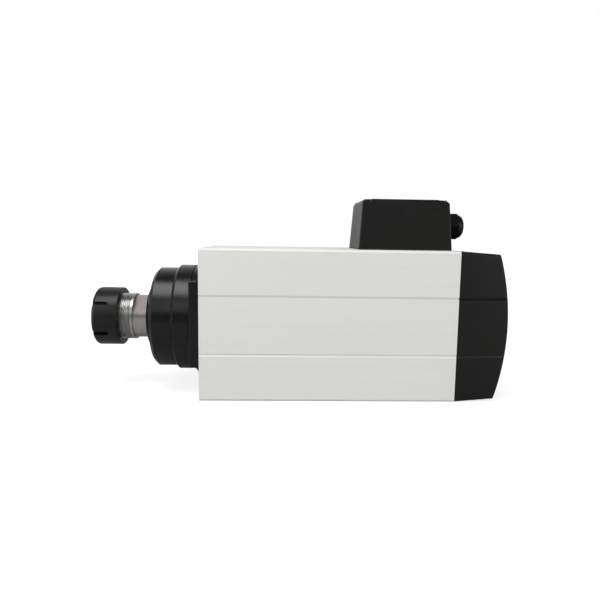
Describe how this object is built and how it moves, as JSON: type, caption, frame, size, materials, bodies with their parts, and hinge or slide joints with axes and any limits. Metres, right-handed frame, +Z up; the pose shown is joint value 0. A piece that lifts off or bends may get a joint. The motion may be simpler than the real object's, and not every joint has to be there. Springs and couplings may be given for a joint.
{
  "type": "motor spindle",
  "caption": "Square air-cooled router spindle motor: black stepped nose, spindle with collet and slotted nut, terminal box with cable gland on top, louvred tail cap.",
  "frame": {"origin": "on the spindle axis, in the plane where the nose register ends, 1.2 mm in front of the flange lugs", "axes": "-X along the spindle axis towards the tool, +X towards the fan, +Z up towards the terminal box, the flat mounting side below"},
  "size_m": [0.3439, 0.1, 0.1647],
  "materials": {
    "anodised_silver": "satin silver anodised, fine lengthwise grain",
    "black_housing": "satin black",
    "black_cover": "fine matt black coating",
    "black_oxide": "black oxide, satin",
    "ground_steel": "turned and ground",
    "zinc_steel": "zinc plated",
    "bearing_steel": "polished",
    "brass_cage": "machined",
    "lamination": "stacked sheet edges",
    "copper_winding": "varnished copper",
    "cast_aluminium": "as cast",
    "black_plastic": "moulded nylon",
    "black_rubber": "matt",
    "block_plastic": "moulded",
    "lead_rubber": "silicone sleeve"
  },
  "bodies": {
    "motor": {"body_extrusion": "anodised_silver", "front_housing": "black_housing", "front_cover": "black_housing", "front_cover_screws": "black_oxide", "flange_screws": "black_oxide", "front_bearing_outer_rings": "bearing_steel", "outer_spacer": "ground_steel", "stator_core": "lamination", "stator_windings": "copper_winding", "motor_leads": "lead_rubber", "rear_bracket": "cast_aluminium", "bracket_screws": "black_oxide", "rear_bearing_outer_ring": "bearing_steel", "preload_spring": "ground_steel", "rear_cap": "black_cover", "cap_screws": "black_oxide", "terminal_cover": "black_cover", "terminal_gasket": "black_rubber", "terminal_block": "block_plastic", "terminal_studs": "brass_cage", "earth_screw": "zinc_steel", "terminal_cover_screws": "black_oxide", "gland_body": "black_plastic", "gland_gasket": "black_rubber", "gland_locknut": "black_plastic", "gland_nut": "black_plastic", "gland_seal": "black_rubber"},
    "shaft": {"spindle_shaft": "ground_steel", "labyrinth_ring": "black_housing", "front_bearing_inner_rings": "bearing_steel", "inner_spacer": "ground_steel", "bearing_locknut": "black_oxide", "rotor_core": "lamination", "rotor_end_rings": "cast_aluminium", "rear_bearing_inner_ring": "bearing_steel", "rear_circlip": "black_oxide", "cooling_fan": "black_plastic", "fan_washer": "zinc_steel", "fan_screw": "black_oxide"},
    "front_cage": {"front_bearing_cages": "brass_cage", "front_bearing_balls": "bearing_steel"},
    "rear_cage": {"rear_bearing_cage": "brass_cage", "rear_bearing_balls": "bearing_steel"},
    "collet": {"collet": "ground_steel"},
    "collet_nut": {"collet_nut": "black_oxide", "extractor_ring": "ground_steel"}
  },
  "joints": [
    {"name": "shaft_spin", "type": "hinge", "parent": "motor", "child": "shaft", "pos_m": [0, 0, 0], "axis": [1, 0, 0], "continuous": true},
    {"name": "front_cage_spin", "type": "hinge", "parent": "motor", "child": "front_cage", "pos_m": [-0.0078, 0, 0], "axis": [1, 0, 0], "continuous": true},
    {"name": "rear_cage_spin", "type": "hinge", "parent": "motor", "child": "rear_cage", "pos_m": [0.2112, 0, 0], "axis": [1, 0, 0], "continuous": true},
    {"name": "collet_slide", "type": "slide", "parent": "shaft", "child": "collet", "axis": [-1, 0, 0], "range_m": [0, 0.0106]},
    {"name": "nut_turn", "type": "hinge", "parent": "collet", "child": "collet_nut", "pos_m": [-0.075, 0, 0], "axis": [-1, 0, 0], "range_deg": [0, 2520]}
  ],
  "couplings": [
    {"joint": "front_cage_spin", "follows": "shaft_spin", "ratio": 0.4223},
    {"joint": "rear_cage_spin", "follows": "shaft_spin", "ratio": 0.3961},
    {"joint": "collet_slide", "follows": "nut_turn", "m_per_rad": 0.00023873}
  ]
}
